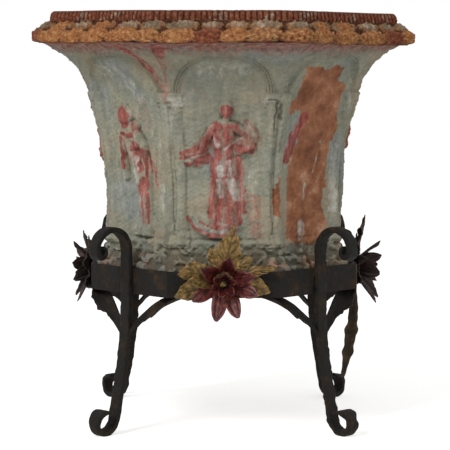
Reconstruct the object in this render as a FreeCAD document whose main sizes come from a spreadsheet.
"""Jardiniere on a wrought iron stand: an eight-sided fired clay planter in a four-legged carrier.

Millimetres, +Z up, front towards -Y.  The origin is on the ground under the middle of the pot.
The stand is symmetrical about the diagonals: its four scrolled legs stand at 45 degrees to the
front, on the slanted sides of an eight-sided band, and a spray of iron leaves and petals is
riveted to each of the band's other four sides.
"""
import FreeCAD, Part
import Sketcher
import math
import os
from FreeCAD import Placement, Rotation, Vector

DIMENSIONS = [
    # alias, size in mm (or degrees), what it is
    ("sides", 8, "sides of the pot and of the band"),
    ("pot_base", 226, "underside of the pot above the ground"),
    ("plinth_face", 195.5, "axis to the flat of the plinth"),
    ("plinth_top", 258, "top of the plinth"),
    ("wall_face", 179, "axis to the flat of the wall, low down"),
    ("wall_start", 310, "height where the wall begins to splay"),
    ("neck_face", 207, "axis to the flat of the wall, under the cavetto"),
    ("neck_height", 529, "height where the cavetto begins"),
    ("rim_face", 297, "axis to the flat of the rim's edge"),
    ("rim_low", 606, "underside of the rim's edge"),
    ("rim_high", 618, "top of the rim's edge"),
    ("lip_face", 268, "axis to the flat of the raised lip"),
    ("lip_foot", 638, "height of the lip's foot"),
    ("pot_top", 653, "top of the lip"),
    ("mouth_face", 241, "axis to the flat of the mouth"),
    ("floor_face", 154, "axis to the flat of the inside, at the floor"),
    ("floor_top", 252, "top of the pot's floor"),
    ("drain_wide", 28, "drain hole's diameter"),
    ("niche_deep", 5.5, "depth of a niche"),
    ("niche_back", 136, "width of the ground behind a niche"),
    ("relief_proud", 3.5, "how far arches and figures stand proud of the wall"),
    ("shaft_radius", 8.3, "radius of a niche's shafts"),
    ("shaft_inset", 11, "corner of the pot to the middle of a shaft"),
    ("band_face", 208, "axis to the outer flat of the band"),
    ("band_thick", 6, "thickness of the band"),
    ("band_low", 216, "underside of the band"),
    ("band_tall", 40, "height of the band"),
    ("bar_wide", 20, "width of a leg's flat bar"),
    ("bar_thick", 9, "thickness of a leg's flat bar"),
    ("scroll_eye", 5.5, "radius of a top scroll's eye"),
    ("scroll_turn", 9, "radius of a top scroll's under side"),
    ("scroll_arch", 32.5, "radius of a top scroll's arch"),
    ("scroll_height", 285, "height of the scroll's centres"),
    ("bend_height", 200, "height where a leg begins to splay"),
    ("bend_turn", 500, "radius of that bend"),
    ("splay_angle", 12.5, "splay of the lower leg, in degrees"),
    ("foot_heel", 25, "radius of the foot's scroll, leg side"),
    ("foot_toe", 15.5, "radius of the foot's scroll, outer side"),
    ("foot_curl", 18, "radius of the foot's curled tip"),
    ("foot_flare", 40, "width of the fishtail at the foot's tip"),
    ("foot_worn", 0.6, "depth of the flat worn under a foot"),
    ("brace_thick", 3, "thickness of a brace"),
    ("support_wide", 22, "width of a bar under the pot"),
    ("support_thick", 6, "thickness of a bar under the pot"),
    ("support_offset", 60, "middle of the pot to a bar under it"),
    ("stud_height", 243, "height of the studs through the band"),
    ("stud_radius", 4, "radius of a stud's shank"),
    ("stud_head", 8, "radius of a stud's head"),
    ("sheet_thick", 1.6, "thickness of leaves and petals"),
    ("rosette_radius", 57, "middle of a flower to its petals' tips"),
    ("cup_radius", 24, "middle of a flower to its inner petals' tips"),
    ("petals", 8, "petals of a flower"),
    ("cup_petals", 6, "inner petals of a flower"),
]

doc = FreeCAD.newDocument("Jardiniere")
sheet = doc.addObject("Spreadsheet::Sheet", "Dims")
for row, (alias, size, meaning) in enumerate(DIMENSIONS, start=1):
    sheet.set(f"A{row}", meaning)
    sheet.set(f"B{row}", str(size))
    sheet.setAlias(f"B{row}", alias)
doc.recompute()

subparts = []


def value(expression):
    """The number that an expression gives; a name in it is an alias of the sheet."""
    if isinstance(expression, (int, float)):
        return float(expression)
    result = sheet.evalExpression(expression)
    return float(getattr(result, "Value", result))


def bind(thing, target, expression):
    """Ties a property or a constraint to the sheet."""
    thing.setExpression(target, expression)


def new_body(label):
    """One sub-part; its label names its file."""
    body = doc.addObject("PartDesign::Body", label)
    body.Label = label
    subparts.append(body)
    return body


def origin_feature(body, role):
    return next(item for item in body.Origin.OriginFeatures if item.Role == role)


def new_sketch(body, name, role, lift=None):
    """A sketch on one of the body's own planes, lifted along the plane's normal."""
    sketch = body.newObject("Sketcher::SketchObject", name)
    sketch.AttachmentSupport = [(origin_feature(body, role), "")]
    sketch.MapMode = "FlatFace"
    if lift is not None:
        bind(sketch, "AttachmentOffset.Base.z", lift)
    doc.recompute()
    return sketch


def pin(sketch, geometry, end, point):
    """Ties a point's coordinates to the sheet where they are given as expressions."""
    for axis, kind in enumerate(("DistanceX", "DistanceY")):
        expression = point[axis]
        if not isinstance(expression, str):
            continue
        size = value(expression)
        if size > 0:
            number = sketch.addConstraint(Sketcher.Constraint(kind, -1, 1, geometry, end, size))
            bind(sketch, f"Constraints[{number}]", expression)
        elif size < 0:
            number = sketch.addConstraint(Sketcher.Constraint(kind, geometry, end, -1, 1, -size))
            bind(sketch, f"Constraints[{number}]", f"-({expression})")


def flat(point):
    return Vector(value(point[0]), value(point[1]), 0)


def draw(sketch, start, *steps):
    """A closed outline.  A step is a point, or (middle, end) of an arc; the last returns to start."""
    ends = []
    here = start
    for step in steps:
        if isinstance(step[0], (tuple, list)):
            middle, there = step
            edge = Part.Arc(flat(here), flat(middle), flat(there))
        else:
            there = step
            edge = Part.LineSegment(flat(here), flat(there))
        number = sketch.addGeometry(edge, False)
        first = 1 if sketch.getPoint(number, 1).distanceToPoint(flat(here)) < 1e-6 else 2
        ends.append((number, first, 3 - first, there))
        here = there
    for (number, first, last, there), following in zip(ends, ends[1:] + ends[:1]):
        sketch.addConstraint(Sketcher.Constraint("Coincident", number, last, following[0], following[1]))
        pin(sketch, number, last, there)
    return sketch


def draw_circle(sketch, radius, centre=(0, 0)):
    middle = Vector(value(centre[0]), value(centre[1]), 0)
    circle = Part.Circle(middle, Vector(0, 0, 1), value(radius))
    number = sketch.addGeometry(circle, False)
    tie = sketch.addConstraint(Sketcher.Constraint("Radius", number, value(radius)))
    bind(sketch, f"Constraints[{tie}]", radius)
    pin(sketch, number, 3, centre)


def pad(body, sketch, length, both=True):
    feature = body.newObject("PartDesign::Pad", sketch.Name + "_pad")
    feature.Profile = sketch
    feature.SideType = "Symmetric" if both else "One side"
    bind(feature, "Length", length)
    doc.recompute()
    return feature


def pocket(body, sketch, length):
    """Cuts to both sides of the sketch, and makes sure that something was cut."""
    before = body.Shape.Volume
    feature = body.newObject("PartDesign::Pocket", sketch.Name + "_cut")
    feature.Profile = sketch
    feature.SideType = "Symmetric"
    bind(feature, "Length", length)
    doc.recompute()
    if body.Shape.Volume >= before:
        raise RuntimeError(sketch.Name + " cuts nothing")
    return feature


def revolve(body, sketch, role):
    feature = body.newObject("PartDesign::Revolution", sketch.Name + "_turned")
    feature.Profile = sketch
    feature.ReferenceAxis = (origin_feature(body, role), [""])
    feature.Angle = 360
    doc.recompute()
    return feature


def loft(body, name, sections, ruled=False):
    feature = body.newObject("PartDesign::AdditiveLoft", name)
    feature.Profile = sections[0]
    feature.Sections = sections[1:]
    feature.Ruled = ruled
    doc.recompute()
    return feature


def pattern(body, features, role, count, whole=False):
    """Repeats features, or the whole body, round one of its axes."""
    feature = body.newObject("PartDesign::PolarPattern", features[0].Name + "_round")
    feature.TransformMode = "Whole shape" if whole else "Features"
    if not whole:
        feature.Originals = features
    feature.Axis = (origin_feature(body, role), [""])
    feature.Angle = 360
    bind(feature, "Occurrences", count)
    body.Tip = feature
    doc.recompute()
    return feature


def keep_inside(body, name, role, lift, depth, outline, reach=400):
    """Trims a body to an outline, as a blank is cut out of sheet."""
    sketch = new_sketch(body, name, role, lift)
    draw(sketch, (-reach, -reach), (reach, -reach), (reach, reach), (-reach, reach), (-reach, -reach))
    draw(sketch, *outline)
    return pocket(body, sketch, depth)


def on_circle(centre, radius, angle):
    turn = math.radians(angle)
    return (centre[0] + radius * math.cos(turn), centre[1] + radius * math.sin(turn))


def bar_outline(sketch, bends, thickness):
    """The edge-on outline of a flat bar bent round arcs, each (centre, radius, from, to) in degrees.

    All the arcs turn the same way, and straight runs join them.
    """
    half = thickness / 2
    inner = []
    outer = []
    for centre, radius, begin, finish in bends:
        for offset, side in ((-half, inner), (half, outer)):
            side.append([on_circle(centre, radius + offset, angle)
                         for angle in (begin, (begin + finish) / 2, finish)])
    steps = []
    for begin, middle, finish in inner:
        steps += [begin, (middle, finish)]
    for begin, middle, finish in reversed(outer):
        steps += [finish, (middle, begin)]
    start = steps.pop(0)
    steps.append(start)
    tidy = []
    here = start
    for step in steps:
        there = step[1] if isinstance(step[0], (tuple, list)) else step
        if math.dist(here, there) > 1e-6:
            tidy.append(step)
        here = there
    return draw(sketch, start, *tidy)


def stand_round(body, angle, offset=(0, 0, 0)):
    """Puts a sub-part modelled along +X at an angle round the pot's axis."""
    turn = Rotation(Vector(0, 0, 1), angle)
    body.Placement = Placement(turn.multVec(Vector(*offset)), turn)


# ---------------------------------------------------------------------------------------------
# The pot: one side is drawn in section, mitred, and repeated eight times
# ---------------------------------------------------------------------------------------------
WALL_BULGE = (183.5, 419)          # a point on the wall's long curve
CAVETTO_MIDDLE = (238.5, 576)      # a point on the hollow moulding under the rim
INSIDE_LINE = [(228, 606), (184, 530), (157, 330)]
# outlines across a side (x) and up it (z)
ARCH_BAND = [
    (-73, 524), (-63, 524), ((-44, 566), (0, 580)), ((44, 566), (63, 524)), (73, 524),
    ((52, 575), (0, 590)), ((-52, 575), (-73, 524))]
NICHE = [(-57, 302), (57, 302), (63, 524), ((44, 566), (0, 580)), ((-44, 566), (-63, 524)), (-57, 302)]
FIGURE = [
    (-27, 306), (24, 306), ((27, 350), (19, 426)), (38, 436), ((46, 462), (22, 487)), (7, 492),
    ((14, 506), (4, 517)), ((-6, 506), (0, 492)), (-20, 486), ((-36, 462), (-50, 440)), (-52, 424),
    (-16, 428), ((-20, 350), (-27, 306))]
# heights along a shaft, and the wall's distance from the axis there
SHAFT_SECTIONS = [(290, 179), (340, 179.6), (419, 183.5), (480, 193), (522, 204.8)]
SHAFT_SUNK = 2                     # how far a shaft's middle lies behind the wall's face
SHAFT_BLOCKS = [
    # name, height of its underside, its own height, back face, front face
    ("base", 288, 22, 170, 184.5), ("capital", 506, 22, 190, 210.5)]
BLOCK_INSET = 22                   # corner of the pot to the near edge of a block


def pot_section(body, name, skin):
    """The section of one side; skin is how far its wall stands proud of the plain one."""
    profile = new_sketch(body, name, "XZ_Plane")
    wall = f"Dims.wall_face + ({skin})"
    neck = f"Dims.neck_face + ({skin})"
    draw(profile,
         ("Dims.drain_wide / 3", "Dims.pot_base"),
         ("Dims.plinth_face", "Dims.pot_base"),
         ("Dims.plinth_face", "Dims.plinth_top"),
         ("Dims.wall_face + 9", "Dims.plinth_top + 4"),
         ("Dims.wall_face + 8", "Dims.plinth_top + 14"),
         (wall, "Dims.plinth_top + 18"),
         (wall, "Dims.wall_start"),
         ((WALL_BULGE[0] + value(skin), WALL_BULGE[1]), (neck, "Dims.neck_height")),
         ((CAVETTO_MIDDLE[0] + value(skin), CAVETTO_MIDDLE[1]),
          (f"Dims.rim_face - 6 + ({skin}) / 2", "Dims.rim_low - 1")),
         ("Dims.rim_face", "Dims.rim_low"),
         ("Dims.rim_face", "Dims.rim_high"),
         ("Dims.lip_face + 12", "Dims.lip_foot - 7"),
         ("Dims.lip_face + 2", "Dims.lip_foot"),
         ("Dims.lip_face", "Dims.pot_top - 4"),
         ("Dims.lip_face - 4", "Dims.pot_top"),
         ("Dims.mouth_face + 3", "Dims.pot_top"),
         ("Dims.mouth_face", "Dims.pot_top - 4"),
         ("Dims.mouth_face - 1", "Dims.rim_high"),
         *INSIDE_LINE,
         ("Dims.floor_face", "Dims.floor_top"),
         ("Dims.drain_wide / 3", "Dims.floor_top"),
         ("Dims.drain_wide / 3", "Dims.pot_base"))
    return profile


def make_pot():
    """Raised forms, plain wall and niche ground are three sections, each cut to its own outlines."""
    body = new_body("pot")
    body.AllowCompound = True
    pad(body, pot_section(body, "raised_section", "Dims.relief_proud"), "Dims.rim_face")
    keep = new_sketch(body, "raised_outlines", "YZ_Plane")
    draw(keep, (-400, -10), (400, -10), (400, 700), (-400, 700), (-400, -10))
    draw(keep, *ARCH_BAND)
    draw(keep, *FIGURE)
    pocket(body, keep, "Dims.rim_face * 3")
    pad(body, pot_section(body, "wall_section", "0"), "Dims.rim_face")
    niche = new_sketch(body, "niche_outline", "YZ_Plane")
    draw(niche, *NICHE)
    draw(niche, *FIGURE)
    pocket(body, niche, "Dims.rim_face * 3")
    pad(body, pot_section(body, "ground_section", "-Dims.niche_deep"), "Dims.niche_back")
    for side in (-1, 1):
        make_shaft(body, side)
    mitre = new_sketch(body, "pot_mitre", "XY_Plane", "Dims.pot_top / 2")
    far = "Dims.rim_face + 20"
    edge = "(Dims.rim_face + 20) * tan(180 / Dims.sides)"
    draw(mitre, (0, 0), (far, edge), (far, "Dims.rim_face"), (0, "Dims.rim_face"), (0, 0))
    draw(mitre, (0, 0), (far, f"-({edge})"), (far, "-Dims.rim_face"), (0, "-Dims.rim_face"), (0, 0))
    cut = pocket(body, mitre, "Dims.pot_top * 2")
    pattern(body, [cut], "Z_Axis", "Dims.sides", whole=True)
    hole = new_sketch(body, "drain_hole", "XY_Plane", "Dims.pot_base")
    draw_circle(hole, "Dims.drain_wide / 2")
    pocket(body, hole, "Dims.pot_base")


def make_shaft(body, side):
    """A half-round shaft beside the niche, with a square base and capital that reach the corner."""
    word = "right" if side > 0 else "left"
    inset = value("Dims.shaft_inset")
    slant = math.tan(math.pi / value("Dims.sides"))
    sections = []
    for number, (height, face) in enumerate(SHAFT_SECTIONS):
        sketch = new_sketch(body, f"shaft_{word}_{number}", "XY_Plane", str(height))
        draw_circle(sketch, "Dims.shaft_radius", (face - SHAFT_SUNK, side * (face * slant - inset)))
        sections.append(sketch)
    loft(body, "shaft_" + word, sections)
    for name, low, tall, back, face in SHAFT_BLOCKS:
        block = new_sketch(body, f"{name}_{word}", "XY_Plane", str(low))
        near = side * (face * slant - BLOCK_INSET)
        far = side * (face * slant + inset)
        draw(block, (back, near), (face, near), (face, far), (back, far), (back, near))
        pad(body, block, str(tall), both=False)


# ---------------------------------------------------------------------------------------------
# The band and the bars that carry the pot
# ---------------------------------------------------------------------------------------------
def octagon(face):
    """Corners of an eight-sided outline whose flats lie across X and Y, as expressions."""
    near = f"({face}) * tan(22.5)"
    return [(f"{a}({p})", f"{b}({q})") for a, b, p, q in (
        ("", "-", face, near), ("", "", face, near), ("", "", near, face), ("-", "", near, face),
        ("-", "", face, near), ("-", "-", face, near), ("-", "-", near, face), ("", "-", near, face))]


def make_band():
    body = new_body("ring_band")
    sketch = new_sketch(body, "band_plan", "XY_Plane", "Dims.band_low")
    for face in ("Dims.band_face", "Dims.band_face - Dims.band_thick"):
        corners = octagon(face)
        draw(sketch, corners[0], *corners[1:], corners[0])
    pad(body, sketch, "Dims.band_tall", both=False)
    for role in ("XZ_Plane", "YZ_Plane"):
        holes = new_sketch(body, "band_holes_" + role[:2].lower(), role)
        draw_circle(holes, "Dims.stud_radius + 0.1", (0, "Dims.stud_height"))
        pocket(body, holes, "Dims.band_face * 3")


def make_supports():
    for side, sign in (("left", "-"), ("right", "")):
        bar = doc.addObject("Part::Box", "support_bar_" + side)
        bar.Label = "support_bar_" + side
        bind(bar, "Length", "Dims.support_wide")
        bind(bar, "Width", "(Dims.band_face - Dims.band_thick) * 2")
        bind(bar, "Height", "Dims.support_thick")
        bind(bar, "Placement.Base.x", f"{sign}Dims.support_offset - Dims.support_wide / 2")
        bind(bar, "Placement.Base.y", "Dims.band_thick - Dims.band_face")
        bind(bar, "Placement.Base.z", "Dims.pot_base - Dims.support_thick")
        subparts.append(bar)


# ---------------------------------------------------------------------------------------------
# Legs: a flat bar scrolled outwards at the top, splayed, and curled up into a fishtail foot
# ---------------------------------------------------------------------------------------------
LEGS = {"front_right": -45, "back_right": 45, "back_left": 135, "front_left": -135}


def leg_bends():
    """The leg's arcs from the scroll's eye down to the foot, and those of the foot's tip."""
    thick = value("Dims.bar_thick")
    middle = value("Dims.band_face") + thick / 2
    height = value("Dims.scroll_height")
    arch = value("Dims.scroll_arch")
    turn = value("Dims.scroll_turn")
    eye = value("Dims.scroll_eye")
    bend = value("Dims.bend_turn")
    splay = value("Dims.splay_angle")
    heel = value("Dims.foot_heel")
    toe = value("Dims.foot_toe")
    curl = value("Dims.foot_curl")
    arch_centre = (middle + arch, height)
    turn_centre = (middle + 2 * arch - turn, height)
    eye_centre = (turn_centre[0] - turn + eye, height)
    bend_centre = (middle + bend, value("Dims.bend_height"))
    bend_end = on_circle(bend_centre, bend, 180 + splay)
    bottom = thick / 2 - value("Dims.foot_worn")
    heel_start = bottom + heel * (1 - math.sin(math.radians(splay)))
    run = (bend_end[1] - heel_start) * math.tan(math.radians(splay))
    heel_centre = (bend_end[0] + run + heel * math.cos(math.radians(splay)), bottom + heel)
    toe_centre = (heel_centre[0], bottom + toe)
    curl_centre = (toe_centre[0] + toe - curl, toe_centre[1])
    bar = [(eye_centre, eye, 90, 180), (turn_centre, turn, 180, 360), (arch_centre, arch, 0, 180),
           (bend_centre, bend, 180, 180 + splay), (heel_centre, heel, 180 + splay, 270),
           (toe_centre, toe, 270, 360)]
    tip = [(curl_centre, curl, 0, 115)]
    return bar, tip, heel_centre[0], toe_centre[1]


def make_leg(name, angle):
    body = new_body("leg_" + name)
    thick = value("Dims.bar_thick")
    bar, tip, foot_middle, curl_height = leg_bends()
    side = new_sketch(body, "leg_side_" + name, "XZ_Plane")
    bar_outline(side, bar, thick)
    pad(body, side, "Dims.bar_wide")
    tail = new_sketch(body, "foot_tail_" + name, "XZ_Plane")
    bar_outline(tail, tip, thick)
    pad(body, tail, "Dims.foot_flare")
    # the tail widens from the bar's width at its outer side to a fishtail at its tip
    trim = new_sketch(body, "foot_trim_" + name, "XY_Plane", f"{curl_height} + 30")
    outer = foot_middle + value("Dims.foot_toe") + thick
    inner = foot_middle - value("Dims.foot_curl")
    for sign in ("", "-"):
        narrow = f"{sign}(Dims.bar_wide / 2)"
        wide = f"{sign}(Dims.foot_flare / 2)"
        past = f"{sign}(Dims.foot_flare)"
        draw(trim, (outer, narrow), (outer, past), (inner, past), (inner, wide), (outer, narrow))
    pocket(body, trim, "60")
    worn = new_sketch(body, "foot_worn_" + name, "XY_Plane", "-10")
    draw(worn, (inner, -30), (outer, -30), (outer, 30), (inner, 30), (inner, -30))
    pocket(body, worn, "20")
    stand_round(body, angle)


# ---------------------------------------------------------------------------------------------
# Braces: a leaf-shaped strap from each side of a leg, rising and turning to the band's underside
# ---------------------------------------------------------------------------------------------
BRACES = {
    "front_left": (-135, 1), "front_right": (-45, -1), "right_front": (-45, 1),
    "right_back": (45, -1), "back_right": (45, 1), "back_left": (135, -1),
    "left_back": (135, 1), "left_front": (-135, -1)}


BRACE_SECTIONS = [
    # across from the leg's middle, in from the bar's middle, height, width, tilt in degrees
    (10, 0, 157.5, 19, 60), (26, -3, 172.0, 24, 60), (44, -7, 187.0, 30, 56), (62, -11, 199.0, 34, 46),
    (80, -17, 207.0, 30, 22), (94, -22, 212.2, 18, 5), (104, -27, 214.5, 4, 0)]


def make_brace(name, angle, side):
    """A leaf-shaped strap lofted through sections that turn as it rises, from the leg to the band."""
    body = new_body("brace_" + name)
    middle = value("Dims.band_face") + value("Dims.bar_thick") / 2
    half = value("Dims.brace_thick") / 2
    sections = []
    for number, (across, inset, height, width, tilt) in enumerate(BRACE_SECTIONS):
        # a sketch on the XZ plane is lifted along -Y
        sketch = new_sketch(body, f"brace_{name}_{number}", "XZ_Plane", str(-side * across))
        spin = Rotation(Vector(0, 0, 1), -tilt)
        corners = [spin.multVec(Vector(x * width / 2, y * half, 0)) for x, y in
                   ((-1, -1), (1, -1), (1, 1), (-1, 1))]
        points = [(middle + inset + corner.x, height + corner.y) for corner in corners]
        draw(sketch, points[0], *points[1:], points[0])
        sections.append(sketch)
    loft(body, "strap_" + name, sections, ruled=True)
    stand_round(body, angle)


# ---------------------------------------------------------------------------------------------
# Flower sprays: sheet leaves and petals held to the band by one stud each, all modelled with
# the stud along +X, from the band's outer face at x = 0
# ---------------------------------------------------------------------------------------------
SPRAYS = {"front": -90, "right": 0, "back": 90, "left": 180}
LOWER_LEAVES = [
    (-6, -12), ((-50, -35), (-74, -29)), ((-46, 6), (-6, 6)), (6, 6),
    ((46, 6), (72, -21)), ((42, -28), (6, -12)), (-6, -12)]
SIDE_LEAVES = [
    (-6, -8), ((-40, -10), (-71, 9)), ((-40, 26), (-6, 9)), (6, 9),
    ((44, 28), (80, 19)), ((44, -4), (6, -8)), (-6, -8)]
TOP_LEAF = [
    (-7, -8), ((-24, 24), (-16, 51)), ((-8, 46), (-4, 38)), ((-3, 70), (19, 88)),
    ((27, 62), (20, 38)), ((30, 41), (46, 39)), ((34, 16), (7, -8)), (-7, -8)]


def seat(body, name):
    stand_round(body, SPRAYS[name], (value("Dims.band_face"), 0, value("Dims.stud_height")))


def stud_hole(body, name):
    """The hole that the stud goes through."""
    sketch = new_sketch(body, name, "YZ_Plane")
    draw_circle(sketch, "Dims.stud_radius + 0.1")
    pocket(body, sketch, "60")


def make_leaf_pair(kind, name, layer, outline, bend_start, bend_radius):
    """Two blades in one strip, flat on the band in the middle and bent forwards outside it."""
    body = new_body(f"{kind}_{name}")
    thick = value("Dims.sheet_thick")
    back = layer * thick
    front = back + thick
    reach = 95
    edge = new_sketch(body, f"{kind}_edge_{name}", "XY_Plane")
    finish = math.degrees(math.asin((reach - bend_start) / bend_radius))

    def bent(depth, sign, angle):
        across, forward = on_circle((bend_start, 0), bend_radius - depth, angle - 90)
        return (bend_radius + forward, sign * across)

    steps = [(back, -bend_start), (back, bend_start),
             (bent(back, 1, finish / 2), bent(back, 1, finish)), bent(front, 1, finish),
             (bent(front, 1, finish / 2), (front, bend_start)), (front, -bend_start),
             (bent(front, -1, finish / 2), bent(front, -1, finish)), bent(back, -1, finish),
             (bent(back, -1, finish / 2), (back, -bend_start))]
    draw(edge, steps[0], *steps[1:])
    pad(body, edge, "120")
    keep_inside(body, f"{kind}_blank_{name}", "YZ_Plane", None, "200", outline)
    stud_hole(body, f"{kind}_hole_{name}")
    seat(body, name)


def make_top_leaf(name):
    """The three-lobed leaf that rises behind the flower."""
    body = new_body(f"top_leaf_{name}")
    thick = value("Dims.sheet_thick")
    back = 2 * thick
    front = back + thick
    bend_start = 19
    bend_radius = 150
    finish = 32
    edge = new_sketch(body, f"top_leaf_edge_{name}", "XZ_Plane")
    centre = (bend_radius + back, bend_start)
    low = -14
    draw(edge, (back, low), (back, bend_start),
         (on_circle(centre, bend_radius, 180 - finish / 2), on_circle(centre, bend_radius, 180 - finish)),
         on_circle(centre, bend_radius - thick, 180 - finish),
         (on_circle(centre, bend_radius - thick, 180 - finish / 2), (front, bend_start)),
         (front, low), (back, low))
    pad(body, edge, "120")
    keep_inside(body, f"top_leaf_blank_{name}", "YZ_Plane", None, "200", TOP_LEAF)
    stud_hole(body, f"top_leaf_hole_{name}")
    seat(body, name)


def make_petals(kind, name, layer, curve, notch, count):
    """A dished sheet, notched into petals."""
    body = new_body(f"{kind}_{name}")
    thick = value("Dims.sheet_thick")
    back = layer * thick
    hole = value("Dims.stud_radius") + 0.1
    start, middle, end = curve
    run = Vector(end[0] - middle[0], end[1] - middle[1], 0).normalize() * thick
    dish = new_sketch(body, f"{kind}_section_{name}", "XY_Plane")
    draw(dish, (back, hole), (back, start),
         ((back + middle[0], middle[1]), (back + end[0], end[1])),
         (back + end[0] + run.y, end[1] - run.x),
         ((back + middle[0] + run.y * 0.9, middle[1] - run.x * 0.9), (back + thick, start)),
         (back + thick, hole), (back, hole))
    revolve(body, dish, "X_Axis")
    root, waist, waist_share, tip = notch
    half = 180 / count
    beyond = tip + 40
    gap = new_sketch(body, f"{kind}_gap_{name}", "YZ_Plane")
    draw(gap, on_circle((0, 0), root, half),
         (on_circle((0, 0), waist, half * (1 - waist_share)), on_circle((0, 0), tip, 0)),
         on_circle((0, 0), beyond, 0), on_circle((0, 0), beyond, 2 * half),
         on_circle((0, 0), tip, 2 * half),
         (on_circle((0, 0), waist, half * (1 + waist_share)), on_circle((0, 0), root, half)))
    cut = pocket(body, gap, "200")
    pattern(body, [cut], "X_Axis", str(count))
    seat(body, name)


def make_stud(name):
    """A rivet with a domed head over the flower and a flat one inside the band."""
    body = new_body(f"stud_{name}")
    base = 5 * value("Dims.sheet_thick")
    inside = value("Dims.band_thick")
    section = new_sketch(body, f"stud_section_{name}", "XY_Plane")
    head = "Dims.stud_head"
    draw(section, (-inside - 2, 0), (-inside - 2, "Dims.stud_head - 1"), (-inside, "Dims.stud_head - 1"),
         (-inside, "Dims.stud_radius"), (base, "Dims.stud_radius"), (base, head),
         ((base + 4.6, 6), (base + 6.8, 1.6)), (base + 6.8, 0), (-inside - 2, 0))
    revolve(body, section, "X_Axis")
    seat(body, name)


def make_spray(name):
    make_leaf_pair("lower_leaves", name, 0, LOWER_LEAVES, 40, 90)
    make_leaf_pair("side_leaves", name, 1, SIDE_LEAVES, 38, 60)
    make_top_leaf(name)
    make_petals("flower", name, 3, (12, (13, 38), (31, 57)), (17, 38, 0.3, value("Dims.rosette_radius")),
                value("Dims.petals"))
    make_petals("flower_cup", name, 4, (9, (13, 18.5), (38, 24)), (12, 19, 0.35, value("Dims.cup_radius")),
                value("Dims.cup_petals"))
    make_stud(name)


# ---------------------------------------------------------------------------------------------
# The long blade that trails from the right-hand spray
# ---------------------------------------------------------------------------------------------
TRAILING_SECTIONS = [
    # height, distance from the axis, width, turn in degrees
    (254, 209.0, 12, 0), (216, 209.0, 14, 0), (190, 207.5, 15, 30), (150, 202.5, 17, 62),
    (110, 196.0, 13, 70), (74, 188.5, 4, 70)]
TRAILING_OFFSET = -76


def make_trailing_leaf():
    body = new_body("trailing_leaf")
    sections = []
    for number, (height, distance, width, turn) in enumerate(TRAILING_SECTIONS):
        sketch = new_sketch(body, f"trailing_section_{number}", "XY_Plane", str(height))
        spin = Rotation(Vector(0, 0, 1), turn)
        half = value("Dims.sheet_thick") * 0.625
        corners = [spin.multVec(Vector(x * half, y * width / 2, 0)) for x, y in
                   ((-1, -1), (1, -1), (1, 1), (-1, 1))]
        points = [(distance + corner.x, TRAILING_OFFSET + corner.y) for corner in corners]
        draw(sketch, points[0], *points[1:], points[0])
        sections.append(sketch)
    loft(body, "trailing_blade", sections)


make_pot()
make_band()
make_supports()
for leg_name, leg_angle in LEGS.items():
    make_leg(leg_name, leg_angle)
for brace_name, (brace_angle, brace_side) in BRACES.items():
    make_brace(brace_name, brace_angle, brace_side)
for spray_name in SPRAYS:
    make_spray(spray_name)
make_trailing_leaf()
doc.recompute()

for item in doc.Objects:
    if "Invalid" in item.State or "Error" in item.State:
        raise RuntimeError(f"{item.Label}: {item.State}")
os.makedirs("parts", exist_ok=True)
for subpart in subparts:
    shape = subpart.Shape
    if shape.isNull() or not shape.isValid():
        raise RuntimeError(f"{subpart.Label} has no valid shape")
    box = shape.BoundBox
    print(f"{subpart.Label:28s} solids {len(shape.Solids)} volume {shape.Volume / 1000:9.2f} cm3  "
          f"x {box.XMin:7.1f} {box.XMax:7.1f}  y {box.YMin:7.1f} {box.YMax:7.1f}  "
          f"z {box.ZMin:6.1f} {box.ZMax:6.1f}")
    shape.exportStep(f"parts/{subpart.Label}.step")
